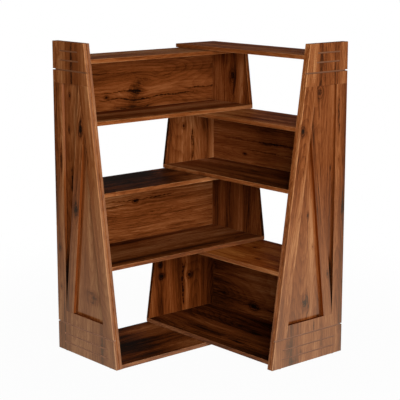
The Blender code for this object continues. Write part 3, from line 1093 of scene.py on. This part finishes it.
def slab(unit, corners, sweep):
    """A solid: an outline of unit points, swept by along, depth and height."""
    shape = bmesh.new()
    ring = [shape.verts.new(unit_point(unit, *corner)) for corner in corners]
    face = shape.faces.new(ring)
    swept = bmesh.ops.extrude_face_region(shape, geom=[face])
    moved = [item for item in swept["geom"] if isinstance(item, bmesh.types.BMVert)]
    bmesh.ops.translate(shape, verts=moved, vec=unit_step(unit, sweep))
    bmesh.ops.recalc_face_normals(shape, faces=shape.faces)
    return shape


def panel(unit, along, outline, thickness):
    """A solid from an outline of depth and height, at a place along a unit."""
    corners = [(along, depth, z) for depth, z in outline]
    return slab(unit, corners, (thickness, 0.0, 0.0))


def applied(piece, tools=()):
    """The bmesh that an object's modifiers give; removes the object and its tools."""
    depsgraph = bpy.context.evaluated_depsgraph_get()
    result = bmesh.new()
    result.from_object(piece, depsgraph)
    for scratch in [piece, *tools]:
        mesh = scratch.data
        bpy.data.objects.remove(scratch)
        bpy.data.meshes.remove(mesh)
    return result


def carve(shape, cutters):
    """Cut solids out of a bmesh and give back the result."""
    piece = new_object("scratch", shape)
    tools = [new_object("scratch", cutter) for cutter in cutters]
    for tool in tools:
        cut = piece.modifiers.new("cut", "BOOLEAN")
        cut.operation = "DIFFERENCE"
        cut.solver = "EXACT"
        cut.object = tool
    return applied(piece, tools)


def round_edges(shape, radius, radius_at=None, edge_wear_and_highlight=1.0):
    """Round the sharp edges, each by the largest radius or by one that a test gives."""
    weight = shape.edges.layers.float.new("bevel_weight_edge")
    for edge in shape.edges:
        if edge.calc_face_angle(0.0) > SHARP_ANGLE:
            wanted = radius_at(edge) if radius_at else radius
            edge[weight] = wanted / radius
    piece = new_object("scratch", shape)
    for _ in range(ROUNDED + 1):
        piece.data.materials.append(None)
    rounding = piece.modifiers.new("round", "BEVEL")
    rounding.limit_method = "WEIGHT"
    rounding.offset_type = "OFFSET"
    rounding.width = radius
    rounding.segments = EDGE_SEGMENTS
    rounding.material = ROUNDED
    rounding.use_clamp_overlap = True
    rounded = applied(piece)
    layers = rounded.faces.layers.float
    wear_and_highlight = layers.get("wear_and_highlight") or layers.new("wear_and_highlight")
    # Rounded faces are painted pale, as edge wear and a painted highlight
    for face in rounded.faces:
        if face.material_index == ROUNDED:
            face.material_index = WOOD
            face[wear_and_highlight] = edge_wear_and_highlight
    return rounded


def paint(shape, index):
    """Give all faces one material index."""
    for face in shape.faces:
        face.material_index = index


def join(shapes):
    """One bmesh from several."""
    joined = bmesh.new()
    joined.faces.layers.float.new("wear_and_highlight")
    for shape in shapes:
        mesh = bpy.data.meshes.new("scratch")
        shape.to_mesh(mesh)
        shape.free()
        joined.from_mesh(mesh)
        bpy.data.meshes.remove(mesh)
    return joined


def finish_piece(name, shape, unit, grain, surfaces):
    """Turn a bmesh into a dressed piece that stands for its CAD node."""
    made = new_object("faced_" + name, shape)
    mesh = made.data
    field = mesh.attributes.new("grain", "FLOAT_VECTOR", "POINT")
    values = []
    for vertex in mesh.vertices:
        values.extend(grain(*unit_place(unit, vertex.co)))
    field.data.foreach_set("vector", values)
    for surface in surfaces:
        mesh.materials.append(surface)
    mesh.shade_smooth()
    mesh.set_sharp_from_angle(angle=SMOOTH_ANGLE)
    even = made.modifiers.new("even_normals", "WEIGHTED_NORMAL")
    even.weight = 100
    even.keep_sharp = True
    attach(made, unit + "_unit")
    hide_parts(name)
    return made


# Wooden pieces


def pivot_hole(unit, level):
    """Cutter for the blind hole of the pin, or of the bush round it."""
    underside = UNDERSIDE[level, unit]
    diameter = PIN_DIAMETER + 2.0 * SEAT
    if unit == "right":
        diameter += 2.0 * (BUSH_WALL + SEAT)
    base = underside - CUT_PAST
    if UNDERSIDE[level, other(unit)] > underside:
        base = underside + BOARD - PIN_GRIP
    depth = PIN_GRIP + CUT_PAST
    foot = unit_point(unit, PIVOT_INSET, PIVOT_INSET, base)
    cutter = bmesh.new()
    bmesh.ops.create_cone(
        cutter,
        cap_ends=True,
        segments=HOLE_SIDES,
        radius1=diameter / 2.0,
        radius2=diameter / 2.0,
        depth=depth,
        matrix=Matrix.Translation(foot + Vector((0.0, 0.0, depth / 2.0))),
    )
    return cutter


def with_band(unit, board, front, back, sweep):
    """A rounded board joined to the strip of edge banding between two lines."""
    origin = unit_point(unit, *back[0])
    run = unit_point(unit, *back[1]) - origin
    normal = run.cross(unit_step(unit, sweep)).normalized()

    def radius_at(edge):
        offsets = [abs((vertex.co - origin).dot(normal)) for vertex in edge.verts]
        return BAND_SEAM_RADIUS if max(offsets) < ON_PLANE else BOARD_RADIUS

    band = slab(unit, [back[0], front[0], front[1], back[1]], sweep)
    band = round_edges(band, BOARD_RADIUS, radius_at)
    paint(band, BANDING)
    return join([round_edges(board, BOARD_RADIUS, radius_at), band])


def add_shelf(unit, level):
    """One board with its banded front and its blind pivot hole."""
    z = UNDERSIDE[level, unit]
    length = board_end(unit) - SEAT
    depth = depth_at(z + BOARD)
    split = depth - BAND_THICKNESS
    sweep = (0.0, 0.0, BOARD)
    corners = [(0.0, 0.0, z), (length, 0.0, z), (length, split, z), (0.0, split, z)]
    board = carve(slab(unit, corners, sweep), [pivot_hole(unit, level)])
    front = [(length, depth, z), (0.0, depth, z)]
    shape = with_band(unit, board, front, [corners[2], corners[3]], sweep)
    label = unit + "_" + level + "_shelf"
    surfaces = [printed(label, grain=grain_of_board), banding_of(label)]
    finish_piece(label, shape, unit, grain_of_board, surfaces)


def upright_board(unit, along, low, high):
    """An upright, its slanted front cut back, and the banding's front and back lines."""
    split_low = depth_at(low) - BAND_THICKNESS
    split_high = depth_at(high) - BAND_THICKNESS
    split = [(along, split_low, low), (along, split_high, high)]
    front = [(along, depth_at(low), low), (along, depth_at(high), high)]
    corners = [(along, 0.0, low), *split, (along, 0.0, high)]
    return slab(unit, corners, (BOARD, 0.0, 0.0)), front, split


def add_inner_side(unit, label, low, high):
    """The board that closes the corner end of a box."""
    side, front, split = upright_board(unit, 0.0, low, high)
    shape = with_band(unit, side, front, split, (BOARD, 0.0, 0.0))
    print_name = unit + "_" + label + "_side"
    surfaces = [printed(print_name), banding_of(print_name)]
    name = unit + "_" + label + "_inner_side"
    finish_piece(name, shape, unit, grain_upright, surfaces)


def add_back_panel(unit, label, low, high):
    """The panel at the back of a box."""
    start = BOARD + SEAT
    end = board_end(unit) - SEAT
    corners = [(start, 0.0, low), (end, 0.0, low), (end, 0.0, high), (start, 0.0, high)]
    shape = round_edges(slab(unit, corners, (0.0, BACK_PANEL, 0.0)), BOARD_RADIUS)
    wood = printed(unit + "_" + label + "_back", grain=grain_of_back)
    name = unit + "_" + label + "_back_panel"
    finish_piece(name, shape, unit, grain_of_back, [wood])


def add_boxes(unit):
    """Inner sides and back panels of a unit's two closed boxes."""
    pairs = [pair for pair in zip(LEVELS, LEVELS[1:]) if pair[0][1] == unit]
    for label, (below, above) in zip(("low", "high"), pairs):
        low = UNDERSIDE[below[0], unit] + BOARD + SEAT
        high = UNDERSIDE[above[0], unit] - SEAT
        add_inner_side(unit, label, low, high)
        add_back_panel(unit, label, low, high)


def add_end_board(unit, edging, core):
    """The full height end board behind the overlay, its cut lines routed pale."""
    along = board_end(unit)
    board, front, split = upright_board(unit, along, GLIDE_HEIGHT, HEIGHT)
    for cut in (BLOCK_TOP, STILE_FOOT, BAND_TOP, BLOCK_FOOT):
        parts = [*board.verts, *board.edges, *board.faces]
        bmesh.ops.bisect_plane(
            board, geom=parts, plane_co=(0.0, 0.0, cut), plane_no=(0.0, 0.0, 1.0)
        )
    shape = with_band(unit, board, front, split, (BOARD, 0.0, 0.0))

    for face in shape.faces:
        face_along, _, z = face_place(unit, face)
        in_cut = BLOCK_TOP < z < STILE_FOOT or BAND_TOP < z < BLOCK_FOOT
        if in_cut and face_along > along + BOARD - ON_PLANE:
            face.material_index = CORE
    label = unit + "_end_board"
    # Painted sheen low down, and painted shade in the pocket corners and the narrow pocket
    wood = printed(label, END_PAINTED_SHEEN[unit], pocket_shading(unit))
    surfaces = [wood, edging, core]
    finish_piece(label, shape, unit, grain_upright, surfaces)


def overlay_grains():
    """Grain direction of the overlay pieces that lean."""
    foot = (depth_at(STILE_FOOT), STILE_FOOT)
    head = (depth_at(STILE_HEAD), STILE_HEAD)
    return {"front_stile": grain_leaning(foot, head), "brace": grain_leaning(*brace_ends())}


def overlay_radius(unit, label, edge):
    """Radius of an overlay edge: large on the outside, small where pieces meet."""
    middle = (edge.verts[0].co + edge.verts[1].co) / 2.0
    along, depth, z = unit_place(unit, middle)
    in_front = depth > depth_at(z) - ON_PLANE
    if along < LENGTH[unit] - ON_PLANE:
        return FRONT_SEAM_RADIUS if in_front else SEAM_RADIUS
    if in_front:
        return OVERLAY_RADIUS
    if depth < ON_PLANE or z < GLIDE_HEIGHT + ON_PLANE or z > HEIGHT - ON_PLANE:
        return BACK_RADIUS
    if abs(z - GROOVE_WALLS.get(label, -1.0)) < ON_PLANE:
        return GROOVE_RADIUS
    return SEAM_RADIUS


def in_groove(label, from_face, depth, z):
    """Whether a place is on the floor or wall of a groove, by its depth under the face."""
    if from_face < ON_FACE:
        return False
    if abs(z - GROOVE_WALLS.get(label, -1.0)) < GROOVE_RADIUS:
        return OFF_EDGE < depth < depth_at(z) - OFF_EDGE
    if from_face > SHORT_GROOVE_DEPTH + PAST_GROOVE:
        return False
    margin = SHORT_GROOVE_MARGIN - OFF_EDGE
    inside = margin < depth < depth_at(z) - margin
    heights = SHORT_GROOVES.get(label, ())
    return inside and any(abs(z - height) < SHORT_GROOVE_HEIGHT for height in heights)


def is_pocket_wall(from_face, depth, z):
    """Whether a place is on a side wall of an overlay piece, away from its outside."""
    side = abs(from_face - OVERLAY / 2.0) < OFF_EDGE
    inside = OFF_EDGE < depth < depth_at(z) - OFF_EDGE
    return side and inside and STILE_FOOT + OFF_EDGE < z < STILE_HEAD + OFF_EDGE


def paint_overlay(unit, label, shape):
    """Paint an overlay piece's front, grooves and pocket walls, and paint its long corner pale, as
    wear and a painted highlight.
    """
    wear_and_highlight = shape.faces.layers.float["wear_and_highlight"]
    for face in shape.faces:
        along, depth, z = face_place(unit, face)
        from_face = LENGTH[unit] - along
        from_front = depth_at(z) - depth
        if face[wear_and_highlight] and from_face < OVERLAY_RADIUS and from_front < OVERLAY_RADIUS:
            face[wear_and_highlight] = FRONT_WEAR_AND_HIGHLIGHT[unit]
        if from_front < ON_PLANE:
            face.material_index = BANDING
        elif in_groove(label, from_face, depth, z):
            face.material_index = CORE
        elif is_pocket_wall(from_face, depth, z):
            face.material_index = WALL


def groove_tongue(unit, foot, head):
    """A strip that fills an open cut up to the depth of the short grooves."""
    along = board_end(unit) + BOARD + SEAT
    back = upright_edge(TONGUE_BACK)
    outline = between(back, lambda z: depth_at(z) - TONGUE_FRONT, foot + SEAT, head - SEAT)
    shape = panel(unit, along, outline, OVERLAY - SEAT - SHORT_GROOVE_DEPTH)
    shape = round_edges(shape, TONGUE_RADIUS)
    paint(shape, CORE)
    return shape


def overlay_shape(unit, label, outline):
    """One overlay piece, with its grooves, rounded edges and painted faces."""
    face = board_end(unit) + BOARD + SEAT
    shape = panel(unit, face, outline, OVERLAY - SEAT)
    floor = LENGTH[unit] - SHORT_GROOVE_DEPTH
    slots = [slot_outline(height) for height in SHORT_GROOVES.get(label, ())]
    if slots:
        cut = SHORT_GROOVE_DEPTH + CUT_PAST
        shape = carve(shape, [panel(unit, floor, slot, cut) for slot in slots])
    shape = round_edges(
        shape, OVERLAY_RADIUS, lambda edge: overlay_radius(unit, label, edge), OVERLAY_WEAR_AND_HIGHLIGHT
    )
    paint_overlay(unit, label, shape)
    if label in TONGUES:
        shape = join([shape, groove_tongue(unit, *TONGUES[label])])
    return shape


def add_overlay(unit, edging, core, walls):
    """The seven overlay pieces on an end board."""
    grains = overlay_grains()
    prints = {}
    for label, outline in overlay_outlines().items():
        shape = overlay_shape(unit, label, outline)
        grain = grains.get(label, grain_upright)
        print_name = unit + "_" + SHARED_PRINT.get(label, label)
        if print_name not in prints:
            prints[print_name] = printed(print_name, END_PAINTED_SHEEN[unit], grain=grain)
        wall = walls.get(label, walls["brace"])
        surfaces = [prints[print_name], edging, core, wall]
        name = unit + "_end_" + label
        finish_piece(name, shape, unit, grain, surfaces)


# Stage, light and camera


def seen_ray(net):
    """1 for rays that show the background: camera, glossy and transmission rays."""
    rays = net.add("ShaderNodeLightPath").outputs
    shown = net.math("MAXIMUM", rays["Is Camera Ray"], rays["Is Glossy Ray"])
    return net.math("MAXIMUM", shown, rays["Is Transmission Ray"])


def add_floor():
    """A plain pale floor that shows white and keeps the object's shadow."""
    shape = bmesh.new()
    bmesh.ops.create_grid(shape, x_segments=1, y_segments=1, size=FLOOR_SIZE / 2.0)
    floor = new_object("floor", shape)
    made, net, surface = new_material("pale_floor")
    surface.inputs["Base Color"].default_value = (FLOOR_WHITE,) * 3 + (1.0,)
    surface.inputs["Roughness"].default_value = 0.9
    surface.inputs["Specular IOR Level"].default_value = 0.0
    glow = net.add("ShaderNodeEmission", {"Color": WHITE, "Strength": 1.0})
    lengths = net.add("ShaderNodeVectorMath", {0: net.place()}, operation="LENGTH")
    away = lengths.outputs["Value"]
    share = net.spread(away, *FLOOR_GLOW_REACH, FLOOR_GLOW, FLOOR_GLOW_FAR)
    mixed = net.mix_shaders(net.times(seen_ray(net), share), surface, glow)
    net.feed(made.node_tree.nodes["Material Output"].inputs[0], mixed)
    floor.data.materials.append(made)


def add_world():
    """White behind the object, and a soft grey light that weakens overhead."""
    world = bpy.data.worlds.new("studio")
    world.use_nodes = True
    bpy.context.scene.world = world
    net = Net(world.node_tree)
    nodes = world.node_tree.nodes
    direction = net.add("ShaderNodeTexCoord").outputs["Generated"]
    height = net.split(direction)[2]
    ambient = net.spread(height, *AMBIENT_HEIGHTS, AMBIENT_LOW, AMBIENT_HIGH)
    white = nodes["Background"]
    white.inputs["Color"].default_value = WHITE
    white.inputs["Strength"].default_value = 1.0
    soft = net.add("ShaderNodeBackground", {"Color": WHITE, "Strength": ambient})
    mixed = net.mix_shaders(seen_ray(net), soft, white)
    net.feed(nodes["World Output"].inputs[0], mixed)


def place_and_aim(made, location, forward):
    """Put a lamp or camera in the scene, looking along a direction."""
    made.location = location
    made.rotation_mode = "QUATERNION"
    made.rotation_quaternion = forward.to_track_quat("-Z", "Y")
    bpy.context.scene.collection.objects.link(made)


def add_lamp(name, azimuth, elevation, power):
    """A square soft lamp aimed at the middle of the object; returns it."""
    lamp = bpy.data.lights.new(name, "AREA")
    lamp.shape = "SQUARE"
    lamp.size = LAMP_SIZE
    lamp.energy = power
    made = bpy.data.objects.new(name, lamp)
    level = math.cos(elevation)
    side = math.sin(azimuth) * level
    back = Vector((side, -math.cos(azimuth) * level, math.sin(elevation)))
    location = Vector((0.0, 0.0, HEIGHT / 2.0)) + back * LAMP_DISTANCE
    place_and_aim(made, location, -back)
    return made


def add_camera():
    """The camera at the photograph's angle."""
    data = bpy.data.cameras.new("camera")
    data.lens = CAMERA_LENS
    data.sensor_width = 36.0
    data.clip_end = CAMERA_CLIP_END
    camera = bpy.data.objects.new("camera", data)
    level = math.cos(CAMERA_PITCH)
    side = math.cos(CAMERA_HEADING) * level
    forward = Vector((side, math.sin(CAMERA_HEADING) * level, -math.sin(CAMERA_PITCH)))
    place_and_aim(camera, CAMERA_PLACE, forward)
    bpy.context.scene.camera = camera


def dress_hardware():
    """Give the CAD pins, washers, bushes and glides their own materials."""
    steel = make_steel()
    nylon = make_nylon()
    for name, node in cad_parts.items():
        if name.startswith("pivot_pin"):
            surface = steel
        elif name.startswith("pivot_") or "_glide_" in name:
            surface = nylon
        else:
            continue
        for slot in node.material_slots:
            slot.material = surface


def build():
    """Dress the whole bookshelf and set the stage."""
    bpy.context.scene.view_settings.view_transform = "Standard"
    for unit in LENGTH:
        edging = printed(unit + "_edging", EDGING_PAINTED_SHEEN[unit], edging_shading(unit))
        core = make_core(unit)
        for level, _, _ in LEVELS:
            add_shelf(unit, level)
        add_boxes(unit)
        add_end_board(unit, edging, core)
        add_overlay(unit, edging, core, pocket_walls(unit))
    dress_hardware()
    add_floor()
    add_world()
    add_lamp("key", KEY_AZIMUTH, KEY_ELEVATION, KEY_POWER)
    back_lamp = add_lamp("back", BACK_AZIMUTH, BACK_ELEVATION, BACK_POWER)
    back_lamp.visible_glossy = False
    add_camera()


build()
